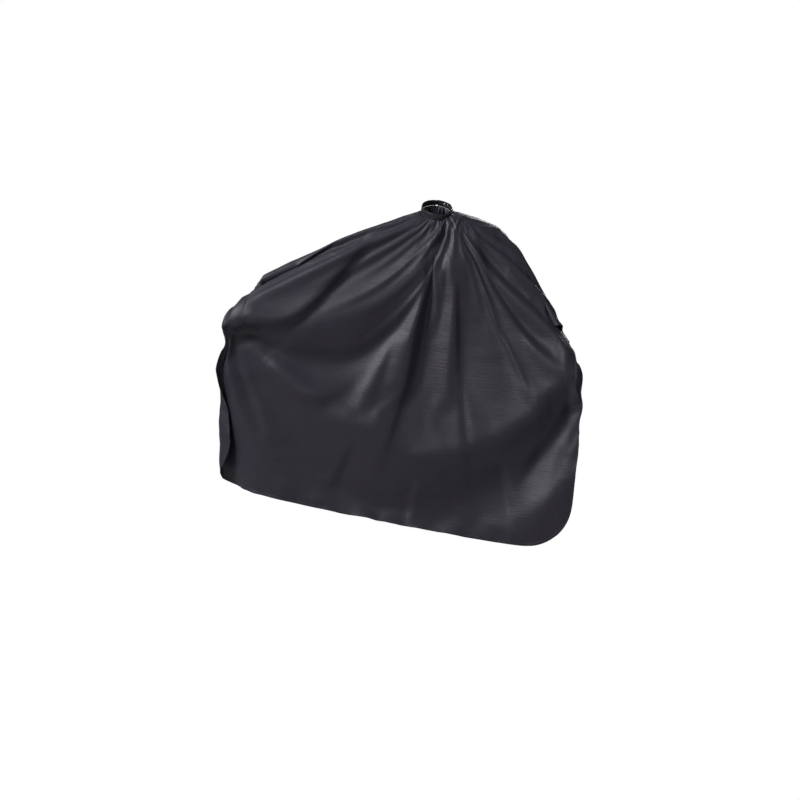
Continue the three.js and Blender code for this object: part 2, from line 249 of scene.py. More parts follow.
def drape():
    """Lets the cloth fall over the wearer, and gives the places of its points."""
    places, held = held_places()
    rows, columns = flat.shape[:2]
    start = over_rail()
    mesh = bpy.data.meshes.new("drape")
    mesh.from_pydata(start.reshape(-1, 3).tolist(), [], grid_faces(rows, columns).tolist())
    cloth = bpy.data.objects.new("drape", mesh)
    scene.collection.objects.link(cloth)
    cloth.shape_key_add(name="Basis")
    key = cloth.shape_key_add(name="held")
    key.data.foreach_set("co", places.ravel())
    key.value = 0
    key.keyframe_insert("value", frame=1)
    key.value = 1
    key.keyframe_insert("value", frame=HOLD_FRAMES)
    pins = cloth.vertex_groups.new(name="held")
    pins.add(np.flatnonzero(held.ravel()).tolist(), 1.0, "REPLACE")
    limbs = wearer()
    modifier = cloth.modifiers.new("Cloth", "CLOTH")
    settings = modifier.settings
    settings.quality = 6
    settings.mass = 0.08
    settings.tension_stiffness = 30
    settings.compression_stiffness = 30
    settings.shear_stiffness = 9
    settings.bending_stiffness = 0.05
    settings.tension_damping = 5
    settings.compression_damping = 5
    settings.shear_damping = 5
    settings.bending_damping = 0.5
    settings.air_damping = 1.5
    settings.vertex_group_mass = "held"
    settings.pin_stiffness = 1
    modifier.collision_settings.collision_quality = 2
    modifier.collision_settings.distance_min = 0.003
    modifier.collision_settings.use_self_collision = False
    last = FALL_FRAMES
    modifier.point_cache.frame_end = last
    scene.frame_end = last
    for step in range(1, last + 1):
        scene.frame_set(step)
    shape = cloth.evaluated_get(bpy.context.evaluated_depsgraph_get()).to_mesh()
    points = np.zeros(rows * columns * 3)
    shape.vertices.foreach_get("co", points)
    for done in [cloth, *limbs]:
        bpy.data.objects.remove(done)
    scene.frame_set(1)
    return points.reshape(rows, columns, 3)


draped = drape()

RAYS = 400
MAIN_RINGS = 104
HEM_RINGS = 4
HEM_WIDTH = 0.010
GATHERS = 34


def spline(points, places):
    """A smooth curve along the first axis through the even points, read at fractional places."""
    ends = (2 * points[:1] - points[1:2], points, 2 * points[-1:] - points[-2:-1])
    padded = np.concatenate(ends)
    first = np.clip(np.floor(places).astype(int), 0, len(points) - 2)
    f = (places - first).reshape(places.shape + (1,) * (points.ndim - places.ndim))
    weights = ((1 - f) ** 3, 3 * f**3 - 6 * f**2 + 4, 1 + 3 * f + 3 * f**2 - 3 * f**3, f**3)

    def row(k):
        if places.ndim == 1:
            return padded[first + k]
        return np.take_along_axis(padded, (first + k)[..., None], axis=0)

    return sum(weight * row(k) for k, weight in enumerate(weights)) / 6


def ring_of_share(share):
    """The ring, in fractions, that lies a share of the way out from the neck."""
    rings = np.linspace(0, SIM_RINGS, 40 * SIM_RINGS)
    return np.interp(share, ring_share(rings), rings)


def fine_grid(coarse, ring_places):
    """The coarse grid read on finer rays, and at each ray's own places along its rings."""
    rows = spline(coarse, np.linspace(0, SIM_RAYS, RAYS + 1))
    return spline(rows.transpose(1, 0, 2), ring_places.T).transpose(1, 0, 2)


# The last rings lie evenly across the hem, whose inner edge runs 10 mm inside the cut's edge
fine_outline = spline(outline, np.linspace(0, SIM_RAYS, RAYS + 1))
fine_neckline = spline(neckline_cut, np.linspace(0, SIM_RAYS, RAYS + 1))
ray_length = np.linalg.norm(fine_outline - fine_neckline, axis=1)
ray_way = unit(fine_outline - fine_neckline)
edge_way = unit(np.gradient(fine_outline, axis=0))
across_edge = np.abs(edge_way[:, 0] * ray_way[:, 1] - edge_way[:, 1] * ray_way[:, 0])
hem_start = 1 - HEM_WIDTH / np.maximum(across_edge, 0.3) / ray_length
main_share = np.linspace(0, 1, MAIN_RINGS + 1) ** 1.35
hem_share = np.linspace(0, 1, HEM_RINGS + 1)[1:]
share = np.concatenate([
    hem_start[:, None] * main_share,
    hem_start[:, None] + (1 - hem_start)[:, None] * hem_share,
], axis=1)
ring_places = ring_of_share(share)
panel_points = fine_grid(draped, ring_places)
panel_cut = fine_grid(flat, ring_places)


def grid_normals(points):
    """The outward direction at each point of a grid."""
    along = np.gradient(points, axis=0)
    outward = np.gradient(points, axis=1)
    return unit(np.cross(outward, along))


def ripple(cut, across, along, seed):
    """Smooth, even noise over the cut, from -1 to 1, with one wave length each way."""
    flat_points = cut.reshape(-1, 2) / (across, along)
    values = [noise.noise(Vector((x, y, seed))) for x, y in flat_points]
    return np.array(values).reshape(cut.shape[:2])


# The fullness of the cut is drawn up in small gathers under the band, which die out below it
panel_normals = grid_normals(panel_points)
from_neck = np.linalg.norm(panel_cut - fine_neckline[:, None], axis=-1)
from_edge = ray_length[:, None] * (1 - share) * across_edge[:, None]
gather_turns = np.linspace(0, 2 * math.pi * GATHERS, RAYS + 1)[:, None]
uneven = ripple(panel_cut, 0.05, 0.4, 3.0) * 6
start_soft = 1 - np.exp(-from_neck / 0.006)
gathers = np.sin(gather_turns + uneven) * 0.0013 * start_soft * np.exp(-from_neck / 0.045)
# The sewn hem draws the cloth in between its stitches, so the edge waves a little
puckers = ripple(panel_cut, 0.030, 0.030, 7.0) * 0.0040 * np.exp(-from_edge / 0.025)
puckers += ripple(panel_cut, 0.075, 0.075, 17.0) * 0.0100 * np.exp(-from_edge / 0.060)
creases = ripple(panel_cut, 0.09, 0.035, 11.0) * 0.0012 * (1 - np.exp(-from_neck / 0.10))
wave = gathers + puckers + creases
panel_points = panel_points + panel_normals * wave[..., None]
panel_normals = grid_normals(panel_points)

# The folds that the pull of the two hands and the neck sets in the cloth, beyond what the drape
# gives. Each runs along a line of (across, down) shares: across from the neck to the higher hand
# at -1 and the lower hand at 1, and down from the neck to the lowest hem at 1. It steps the cloth
# forward on the line's left side by a depth, over a width, dying away within a reach, in metres.
SET_FOLDS = [
    # from the higher hand, in a crescent up to the chest
    ([(-0.95, 0.35), (-0.80, 0.35), (-0.65, 0.35), (-0.45, 0.20), (-0.25, 0.05)],
     0.017, 0.013, 0.075),
    # down from the higher hand, beside the edge
    ([(-0.95, 0.40), (-0.90, 0.50), (-0.75, 0.75)], 0.012, 0.013, 0.045),
    # the sag between the hands, on the higher side
    ([(-0.85, 0.45), (-0.70, 0.55), (-0.55, 0.60), (-0.35, 0.50)], 0.013, 0.022, 0.090),
    # down the middle, from the throat towards the hem
    ([(-0.05, 0.10), (-0.05, 0.25), (-0.10, 0.45), (-0.20, 0.65), (-0.30, 0.85)],
     -0.009, 0.013, 0.060),
    ([(0.10, 0.05), (0.15, 0.35), (0.15, 0.60), (0.25, 0.90)], -0.007, 0.012, 0.050),
    # from the throat over the lower arm to the lower hand
    ([(0.25, 0.05), (0.35, 0.20), (0.50, 0.30), (0.65, 0.40), (0.95, 0.50)],
     -0.015, 0.012, 0.070),
    # inwards from below the lower hand
    ([(0.95, 0.55), (0.85, 0.65), (0.65, 0.75), (0.50, 0.85)], -0.009, 0.014, 0.140),
    # short ones that run into the hem
    ([(-0.10, 0.80), (-0.15, 0.95)], 0.008, 0.011, 0.030),
    ([(-0.40, 0.70), (-0.50, 0.85)], -0.008, 0.012, 0.040),
    ([(0.45, 0.75), (0.55, 0.95)], 0.007, 0.011, 0.035),
]
FOLD_SAMPLES = 60


def smooth_step(x):
    """From 0 to 1, with no corners."""
    x = np.clip(x, 0, 1)
    return x * x * (3 - 2 * x)


def set_fold(points, line, depth, width, reach):
    """How far one set fold brings each point forward."""
    line = np.array(line) * (1, -1)
    line[:, 0] *= np.where(line[:, 0] < 0, -hands[-1][0], hands[1][0])
    line[:, 1] *= -cad_box[0][2]
    samples = spline(line, np.linspace(0, len(line) - 1, FOLD_SAMPLES))
    ways = unit(np.gradient(samples, axis=0))
    seen = points[..., [0, 2]].reshape(-1, 2)
    apart = np.linalg.norm(seen[:, None] - samples[None], axis=-1)
    near = apart.argmin(axis=1)
    gap = seen - samples[near]
    side = ways[near, 0] * gap[:, 1] - ways[near, 1] * gap[:, 0]
    run = near / (FOLD_SAMPLES - 1)
    fade = smooth_step(run / 0.18) * smooth_step((1 - run) / 0.30)
    step = depth * np.tanh(side / width) * np.exp(-apart.min(axis=1) / reach) * fade
    return step.reshape(points.shape[:2])


in_front = smooth_step(panel_cut[..., 1] / 0.10 + 0.5)
for line, depth, width, reach in SET_FOLDS:
    panel_points[..., 1] -= set_fold(panel_points, line, depth, width, reach) * in_front
panel_normals = grid_normals(panel_points)


def mesh_piece(name, points, faces, uvs, material):
    """A named piece made of points and faces, with its flat places in metres as its UV map."""
    mesh = bpy.data.meshes.new(name)
    mesh.from_pydata(np.asarray(points).reshape(-1, 3).tolist(), [], [list(f) for f in faces])
    layer = mesh.uv_layers.new(name="cut")
    corners = np.zeros(len(mesh.loops), int)
    mesh.loops.foreach_get("vertex_index", corners)
    layer.data.foreach_set("uv", np.asarray(uvs).reshape(-1, 2)[corners].ravel())
    mesh.shade_smooth()
    mesh.materials.append(material)
    piece = bpy.data.objects.new(name, mesh)
    scene.collection.objects.link(piece)
    return piece


def linear(colour):
    """An sRGB hex colour as linear red, green, blue and alpha."""
    parts = [int(colour[k : k + 2], 16) / 255 for k in (1, 3, 5)]
    return (*[c / 12.92 if c <= 0.04045 else ((c + 0.055) / 1.055) ** 2.4 for c in parts], 1)


def add_node(material, kind, settings=None, links=None):
    """Adds a node, sets its own settings or its sockets, and links its inputs."""
    tree = material.node_tree
    node = tree.nodes.new(kind)
    for name, value in (settings or {}).items():
        if isinstance(name, str) and hasattr(node, name):
            setattr(node, name, value)
        else:
            node.inputs[name].default_value = value
    for name, source in (links or {}).items():
        tree.links.new(source, node.inputs[name])
    return node


def new_material(name):
    """An empty node material, its shader and its output."""
    material = bpy.data.materials.new(name)
    material.use_nodes = True
    material.node_tree.nodes.clear()
    shader = add_node(material, "ShaderNodeBsdfPrincipled")
    add_node(material, "ShaderNodeOutputMaterial", links={"Surface": shader.outputs["BSDF"]})
    return material, shader


def woven(name, lit, shade, thread_pitch, roughness, crinkle):
    """Plain weave: threads over and under each other, with the soft crinkle of thin pressed cloth. Its base colour
    mixes a lit and a shaded colour in two ways. The weave puts a painted highlight where the threads cross and
    painted shade in the gaps between them. A random tone varies across the cloth.
    """
    material, shader = new_material(name)
    link = material.node_tree.links.new
    place = add_node(material, "ShaderNodeUVMap", {"uv_map": "cut"}).outputs["UV"]
    # A wave texture's scale of 1 is a wave of 2 pi / 20 metres
    scale = 2 * math.pi / 20 / thread_pitch
    warp, weft = [
        add_node(material, "ShaderNodeTexWave", {
            "wave_type": "BANDS", "bands_direction": way, "wave_profile": "SIN",
            "Scale": scale, "Distortion": 0.0}, {"Vector": place}).outputs["Fac"]
        for way in ("X", "Y")
    ]
    weave = add_node(material, "ShaderNodeMath", {"operation": "MULTIPLY"}, {0: warp, 1: weft})
    # Slubs in the weft: thicker stretches of thread, 50 mm long, drawn 6 mm apart so they show
    stretch = add_node(material, "ShaderNodeMapping", {"Scale": (20, 160, 1)}, {"Vector": place})
    fold = add_node(material, "ShaderNodeTexNoise", {
        "Scale": 1.0, "Detail": 4.0, "Roughness": 0.55}, {"Vector": stretch.outputs["Vector"]})
    tone = add_node(material, "ShaderNodeTexNoise", {
        "Scale": 7.0, "Detail": 3.0, "Roughness": 0.6}, {"Vector": place})
    blend = add_node(material, "ShaderNodeMath", {"operation": "MULTIPLY_ADD", 1: 0.55},
                     {0: tone.outputs["Fac"]})
    # Painted light: the weave makes the base colour lighter where the threads cross and darker in the gaps between
    # them
    weave_shade = add_node(material, "ShaderNodeMath", {"operation": "MULTIPLY", 1: 0.45},
                           {0: weave.outputs[0]})
    link(weave_shade.outputs[0], blend.inputs[2])
    # Where the weave drives the mix, the shade colour is painted shade and the lit colour a painted highlight;
    # where the random tone drives it, they are the cloth's own darker and lighter patches
    colour = add_node(material, "ShaderNodeMix", {
        "data_type": "RGBA", "clamp_factor": True}, {0: blend.outputs[0]})
    colour.inputs[6].default_value = linear(shade)
    colour.inputs[7].default_value = linear(lit)
    gloss = add_node(material, "ShaderNodeMapRange", {
        "To Min": roughness - 0.06, "To Max": roughness + 0.08}, {"Value": fold.outputs["Fac"]})
    soft = add_node(material, "ShaderNodeBump", {
        "Strength": 1.0, "Distance": crinkle}, {"Height": fold.outputs["Fac"]})
    bump = add_node(material, "ShaderNodeBump", {
        "Strength": 0.5, "Distance": thread_pitch * 0.12},
        {"Height": weave.outputs[0], "Normal": soft.outputs["Normal"]})
    link(colour.outputs[2], shader.inputs["Base Color"])
    link(gloss.outputs["Result"], shader.inputs["Roughness"])
    link(bump.outputs["Normal"], shader.inputs["Normal"])
    shader.inputs["IOR"].default_value = 1.5
    shader.inputs["Specular IOR Level"].default_value = 0.2
    shader.inputs["Sheen Weight"].default_value = 0.10
    shader.inputs["Sheen Roughness"].default_value = 0.4
    shader.inputs["Sheen Tint"].default_value = linear("#c9c2d6")
    return material


# Black polyester taffeta: near black with a violet cast, satin where the light grazes it. The
# real threads are 0.2 mm apart; they are drawn 1.2 mm apart so that the weave shows close up.
# The two colours are the lit and shaded cloth: painted highlight and painted shade in the weave, and the cloth's
# own tone at random
taffeta = woven("polyester taffeta", "#211e28", "#16141b", 0.0012, 0.50, 0.0008)

panel = mesh_piece("cape_cloth", panel_points, grid_faces(*panel_points.shape[:2]),
                   panel_cut, taffeta)
solid = panel.modifiers.new("Thickness", "SOLIDIFY")
solid.thickness = CLOTH_THICKNESS
solid.offset = 0
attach(panel, "cape")
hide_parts("cape_panel")

# ---- The hem ----
# The cloth's edge is turned twice to the inside, 10 mm wide, all round and up both sides of
# the slit. It is the panel's own cloth, so it is three plies thick there.

HEM_THICKNESS = 0.0010
HEM_GAP = 0.0001
HEM_OVERHANG = 0.0004


def swept(name, loops, along, round_loop, material):
    """A closed solid through a row of loops, each the same number of points round a section."""
    rows, count = loops.shape[:2]
    k = np.arange(rows * count).reshape(rows, count)
    after = np.roll(k, -1, axis=1)
    sides = np.stack([c.ravel() for c in (k[:-1], after[:-1], after[1:], k[1:])], axis=1).tolist()
    faces = sides + [k[0, ::-1].tolist(), k[-1].tolist()]
    uvs = np.stack(np.broadcast_arrays(along[:, None], round_loop[None]), axis=-1)
    piece = mesh_piece(name, loops, faces, uvs, material)
    shell = bmesh.new()
    shell.from_mesh(piece.data)
    bmesh.ops.recalc_face_normals(shell, faces=shell.faces)
    shell.to_mesh(piece.data)
    shell.free()
    return piece


def sheet_section(width, thickness, corners=5):
    """A flat section with round long edges: places across its width and through its thickness."""
    quarter = np.radians(np.linspace(-90, 90, corners))
    radius = thickness / 2
    far = np.stack([width - radius + radius * np.cos(quarter), radius * np.sin(quarter)], axis=1)
    near = np.stack([radius - radius * np.cos(quarter), -radius * np.sin(quarter)], axis=1)
    middle = np.linspace(0.2, 0.8, 4)[:, None] * (width, 0)
    return np.concatenate([far, middle[::-1] + (0, radius), near, middle - (0, radius)])


def path_lengths(points):
    """How far along a line of points each point lies."""
    return np.append(0, np.cumsum(np.linalg.norm(np.diff(points, axis=0), axis=1)))


def hem_frames():
    """Along the slit and the cut's edge: points, the way into the cloth, and the outward normal."""
    last = panel_points.shape[1] - 1
    slit = range(3, last)
    places = [(0, ring) for ring in slit] + [(ray, last) for ray in range(RAYS + 1)]
    places += [(RAYS, ring) for ring in reversed(slit)]
    rays, rings = np.array(places).T
    inner_rays = np.clip(rays, 2, RAYS - 2)
    inner_rings = np.where((rays == 0) | (rays == RAYS), rings, last - HEM_RINGS)
    on_side = (rings < last) | (rays == 0) | (rays == RAYS)
    inner_rays = np.where(on_side, inner_rays, rays)
    edge = panel_points[rays, rings]
    normal = panel_normals[rays, rings]
    inwards = panel_points[inner_rays, inner_rings] - edge
    corner = (rings == last) & on_side
    inwards[corner] += panel_points[rays, last - HEM_RINGS][corner] - edge[corner]
    inwards = unit(inwards - normal * np.sum(inwards * normal, axis=-1, keepdims=True))
    return edge, inwards, normal


edge, into_cloth, edge_normal = hem_frames()
section = sheet_section(HEM_WIDTH, HEM_THICKNESS)
hem_sink = CLOTH_THICKNESS / 2 + HEM_THICKNESS / 2 + HEM_GAP
hem_loops = (edge[:, None] + into_cloth[:, None] * (section[None, :, :1] - HEM_OVERHANG)
             - edge_normal[:, None] * (hem_sink + section[None, :, 1:]))
hem = swept("hem", hem_loops, path_lengths(edge), path_lengths(section), taffeta)
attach(hem, "cape")

# ---- The neckband ----
# Three plies that stand up round the neck: a facing against the skin, a non-woven stiffener
# and an outer ply. The outer ply is folded in over the top and bottom edges and stitched down.

BAND_STEPS = 220
PLY_SWELL = 0.00012


def neck_ring(angles, outward, height):
    """Places round the neck, by the angle from the nape, the way out and the height."""
    t = np.radians(angles)
    across, back = neck_half
    normal = unit(np.stack([np.sin(t) / across, np.cos(t) / back], axis=-1))
    level = np.stack([across * np.sin(t), back * np.cos(t)], axis=-1)
    level = level + normal * np.asarray(outward)[..., None]
    height = np.broadcast_to(height, t.shape)
    return level @ neck_axes[:2] + height[..., None] * neck_up


def soft_strip(name, angles, outward, thickness, height, material, lift=None, roll=0.0):
    """A strip of cloth on edge round the neck, a little uneven, its long edges rolled inwards."""
    shape = sheet_section(height, thickness)
    up = shape[:, 0] - height / 2
    out = shape[:, 1] + thickness / 2
    roll_in = roll * np.abs(up / (height / 2)) ** 6
    swell = [noise.noise(Vector((angle / 9, outward * 900, 5.0))) for angle in angles]
    swell = np.array(swell)[:, None] * PLY_SWELL
    lifted = 0 if lift is None else lift(angles)[:, None]
    outwards = outward + lifted + out[None] - roll_in[None] + swell
    spread = np.broadcast_to(angles[:, None], outwards.shape)
    loops = neck_ring(spread, outwards, up[None])
    return swept(name, loops, path_lengths(loops[:, 0]), path_lengths(shape), material)


def corner_angles(name):
    """The angles from the nape at which a frame node's corners lie, in degrees."""
    points = node_points(name) @ neck_axes.T
    across, back = neck_half
    return np.degrees(np.arctan2(points[:, 0] / across, points[:, 1] / back))


GAP = 0.0003
STIFFENER = 0.0006
outer_at = PLY + STIFFENER + 2 * GAP
BAND_END = float(np.abs(corner_angles("neckband_outer")).min())
TAB_SEAM = 7.0
band_angles = np.linspace(BAND_END, 360 - TAB_SEAM, BAND_STEPS)

# Like the taffeta, the band cloth's two colours are painted highlight and painted shade in the weave, and its own
# tone at random
satin = woven("pressed polyester", "#1c1a20", "#121115", 0.0010, 0.46, 0.0002)


def non_woven():
    """Stiffener felt: matt, off white, with loose fibres pressed flat."""
    material, shader = new_material("non-woven stiffener")
    link = material.node_tree.links.new
    place = add_node(material, "ShaderNodeTexCoord").outputs["Object"]
    fibre = add_node(material, "ShaderNodeTexNoise", {
        "Scale": 900.0, "Detail": 5.0, "Distortion": 1.5}, {"Vector": place})
    colour = add_node(material, "ShaderNodeMix", {"data_type": "RGBA"}, {0: fibre.outputs["Fac"]})
    colour.inputs[6].default_value = linear("#83817c")
    colour.inputs[7].default_value = linear("#a7a49d")
    bump = add_node(material, "ShaderNodeBump", {
        "Strength": 0.6, "Distance": 0.0001}, {"Height": fibre.outputs["Fac"]})
    link(colour.outputs[2], shader.inputs["Base Color"])
    link(bump.outputs["Normal"], shader.inputs["Normal"])
    shader.inputs["Roughness"].default_value = 0.95
    return material


felt = non_woven()
BAND_PLIES = [
    ("facing", 0.0, PLY, BAND_HEIGHT - 0.0006, satin, "band_cloth", 0.0),
    ("interlining", PLY + GAP, STIFFENER, BAND_HEIGHT - 0.0040, felt, "interlining", 0.0),
    ("outer", outer_at, PLY, BAND_HEIGHT, satin, "band_cloth", 0.0011),
]
for ply, outward, thickness, height, material, slot, roll in BAND_PLIES:
    strip = soft_strip("band_" + ply, band_angles, outward, thickness, height, material, roll=roll)
    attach(strip, "cape")
    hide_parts("neckband_" + ply)

# ---- The closure tab ----
# The band's left end runs on as a tab of the same three plies. It steps out over the band's
# right end and the studs there, and is what the fingers pull to open the cape.

TAB_HEIGHT = 0.018
tab_end = float(corner_angles("tab_outer").max())
TAB_LIFT = 0.0050
LIFT_END = 3.25


def tab_rise(angles):
    """How far the tab has stepped out from the band."""
    return TAB_LIFT * smooth_step((angles + BAND_END) / (LIFT_END + BAND_END))


tab_angles = np.concatenate([
    np.linspace(0.08 - TAB_SEAM, LIFT_END + 1, 48), np.linspace(LIFT_END + 1.5, tab_end, 60)])
TAB_PLIES = [
    ("facing", 0.0, PLY, TAB_HEIGHT - 0.0006, satin, "band_cloth", 0.0),
    ("interlining", PLY + GAP, STIFFENER, TAB_HEIGHT - 0.0030, felt, "interlining", 0.0),
    ("outer", outer_at, PLY, TAB_HEIGHT, satin, "band_cloth", 0.0011),
]
for ply, outward, thickness, height, material, slot, roll in TAB_PLIES:
    strip = soft_strip("closure_" + ply, tab_angles, outward, thickness, height, material,
                       lift=tab_rise, roll=roll)
    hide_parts("tab_" + ply)
    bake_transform(strip)

# ---- Press studs ----
# Brass, pressed from sheet and nickel plated. A post goes through the band from the skin side
# into its stud; a black enamelled cap goes through the tab from outside into its socket.


def plated():
    """Nickel plate on pressed brass: bright, a little yellow, with fine handling scratches."""
    material, shader = new_material("nickel-plated brass")
    link = material.node_tree.links.new
    place = add_node(material, "ShaderNodeTexCoord").outputs["Object"]
    rub = add_node(material, "ShaderNodeTexNoise", {
        "Scale": 1400.0, "Detail": 4.0, "Roughness": 0.7}, {"Vector": place})
    tone = add_node(material, "ShaderNodeMix", {"data_type": "RGBA"}, {0: rub.outputs["Fac"]})
    tone.inputs[6].default_value = linear("#a9a69d")
    tone.inputs[7].default_value = linear("#cfccc4")
    gloss = add_node(material, "ShaderNodeMapRange", {
        "To Min": 0.16, "To Max": 0.36}, {"Value": rub.outputs["Fac"]})
    bump = add_node(material, "ShaderNodeBump", {
        "Strength": 0.2, "Distance": 0.00002}, {"Height": rub.outputs["Fac"]})
    link(tone.outputs[2], shader.inputs["Base Color"])
    link(gloss.outputs["Result"], shader.inputs["Roughness"])
    link(bump.outputs["Normal"], shader.inputs["Normal"])
    shader.inputs["Metallic"].default_value = 1.0
    return material


def enamel():
    """Black stove enamel on the cap: smooth, with the faint orange peel of a sprayed coat."""
    material, shader = new_material("black enamel")
    link = material.node_tree.links.new
    place = add_node(material, "ShaderNodeTexCoord").outputs["Object"]
    peel = add_node(material, "ShaderNodeTexNoise", {
        "Scale": 700.0, "Detail": 2.0}, {"Vector": place})
    tone = add_node(material, "ShaderNodeMix", {"data_type": "RGBA"}, {0: peel.outputs["Fac"]})
    tone.inputs[6].default_value = linear("#151417")
    tone.inputs[7].default_value = linear("#232227")
    bump = add_node(material, "ShaderNodeBump", {
        "Strength": 0.3, "Distance": 0.00003}, {"Height": peel.outputs["Fac"]})
    link(tone.outputs[2], shader.inputs["Base Color"])
    link(bump.outputs["Normal"], shader.inputs["Normal"])
    shader.inputs["Roughness"].default_value = 0.32
    shader.inputs["Coat Weight"].default_value = 0.6
    shader.inputs["Coat Roughness"].default_value = 0.12
    return material


nickel = plated()
black_enamel = enamel()


def axis_of(name):
    """A round frame node's axis, pointing away from the neck, and the lowest point on it."""
    points = np.unique(node_points(name).round(7), axis=0)
    centre = (points.min(axis=0) + points.max(axis=0)) / 2
    spread = points - points.mean(axis=0)
    values, ways = np.linalg.eigh(spread.T @ spread)
    odd = np.argmax([abs(v - np.delete(values, k).mean()) for k, v in enumerate(values)])
    out = ways[:, odd]
    level = centre - neck_up * (centre @ neck_up)
    out = out * np.sign(out @ level)
    heights = points @ out
    across = points - np.outer(heights, out)
    return out, across.mean(axis=0) + out * heights.min()


def turned(name, node, profile, material, slot, body, steps=48):
    """A lathe-turned piece in place of a round frame node; the profile is (radius, height) in mm."""
    out, foot = axis_of(node)
    side = unit(np.cross(out, neck_up))
    up = np.cross(side, out)
    angles = np.linspace(0, 2 * math.pi, steps, endpoint=False)[:, None]
    radii, heights = np.array(profile).T / 1000
    ring = radii * np.cos(angles), radii * np.sin(angles)
    points = foot + ring[0][..., None] * side + ring[1][..., None] * up + heights[:, None] * out
    k = np.arange(points.shape[0] * points.shape[1]).reshape(points.shape[:2])
    after = np.roll(k, -1, axis=0)
    faces = np.stack([c.ravel() for c in (k[:, :-1], after[:, :-1], after[:, 1:], k[:, 1:])],
                     axis=1).tolist()
    uvs = np.stack(np.broadcast_arrays(angles, path_lengths(np.array(profile))[None]), axis=-1)
    piece = mesh_piece(name, points, faces, uvs, material)
    shell = bmesh.new()
    shell.from_mesh(piece.data)
    bmesh.ops.remove_doubles(shell, verts=shell.verts, dist=1e-6)
    bmesh.ops.recalc_face_normals(shell, faces=shell.faces)
    shell.to_mesh(piece.data)
    shell.free()
    bevel = piece.modifiers.new("Pressed edges", "BEVEL")
    bevel.width = 0.00008
    bevel.segments = 2
    bevel.limit_method = "ANGLE"
    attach(piece, body)
    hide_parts(node)
    return piece


# Post: a rolled flange on the skin side, and the shank that rises through the band
POST = [(0, 0.10), (1.6, 0.10), (1.9, 0.02), (3.9, 0), (4.5, 0.12), (4.75, 0.32), (4.6, 0.46),
        (4.2, 0.50), (1.25, 0.50), (1.2, 0.60), (1.2, 3.10), (1.0, 3.19), (0, 3.19)]
# Stud: a flange with a raised rim, and the round head that clicks into the socket
STUD = [(0, 0), (4.4, 0), (4.7, 0.10), (4.75, 0.30), (4.5, 0.47), (4.1, 0.50), (3.6, 0.38),
        (2.4, 0.38), (1.75, 0.55), (1.52, 0.80), (1.62, 1.05), (1.8, 1.25), (1.78, 1.45),
        (1.5, 1.64), (0.9, 1.70), (0.6, 1.62), (0, 1.60)]
# Socket: a rolled ring round the bore, closed at its back
SOCKET = [(0, 1.35), (2.68, 1.35), (2.75, 1.2), (2.72, 0.25), (2.9, 0.06), (3.3, 0), (4.0, 0.03),
          (4.5, 0.14), (4.75, 0.40), (4.72, 1.30), (4.5, 1.55), (4.2, 1.60), (0, 1.60)]
# Cap: a low dome with a rolled rim on the outside of the tab, and its shank
CAP = [(0, 0), (1.0, 0), (1.2, 0.10), (1.2, 2.45), (4.3, 2.45), (4.65, 2.50), (4.75, 2.68),
       (4.7, 2.86), (4.5, 3.0), (3.9, 3.22), (3.0, 3.40), (2.0, 3.50), (1.0, 3.545), (0, 3.55)]
for k in range(1, 5):
    turned(f"post_{k}", f"snap_post_{k}", POST, nickel, "snap_nickel", "cape")
    turned(f"stud_{k}", f"snap_stud_{k}", STUD, nickel, "snap_nickel", "cape")
for k in range(1, 3):
    turned(f"socket_{k}", f"snap_socket_{k}", SOCKET, nickel, "snap_nickel", "closure_tab")
    turned(f"cap_{k}", f"snap_cap_{k}", CAP, black_enamel, "cap_enamel", "closure_tab")

# ---- Stitching ----
# Lockstitch in black spun polyester thread, a little finer than the cloth is thick: two rows
# along the band and the tab, and one row along the hem, which shows on both of its faces.


def spun_thread():
    """Spun polyester: matt, near black, with the twist of its plies."""
    material, shader = new_material("spun polyester thread")
    link = material.node_tree.links.new
    place = add_node(material, "ShaderNodeTexCoord").outputs["Object"]
    twist = add_node(material, "ShaderNodeTexNoise", {
        "Scale": 2500.0, "Detail": 2.0}, {"Vector": place})
    tone = add_node(material, "ShaderNodeMix", {"data_type": "RGBA"}, {0: twist.outputs["Fac"]})
    tone.inputs[6].default_value = linear("#131115")
    tone.inputs[7].default_value = linear("#26232a")
    bump = add_node(material, "ShaderNodeBump", {
        "Strength": 0.5, "Distance": 0.00004}, {"Height": twist.outputs["Fac"]})
    link(tone.outputs[2], shader.inputs["Base Color"])
    link(bump.outputs["Normal"], shader.inputs["Normal"])
    shader.inputs["Roughness"].default_value = 0.7
    shader.inputs["Sheen Weight"].default_value = 0.2
    return material


thread = spun_thread()


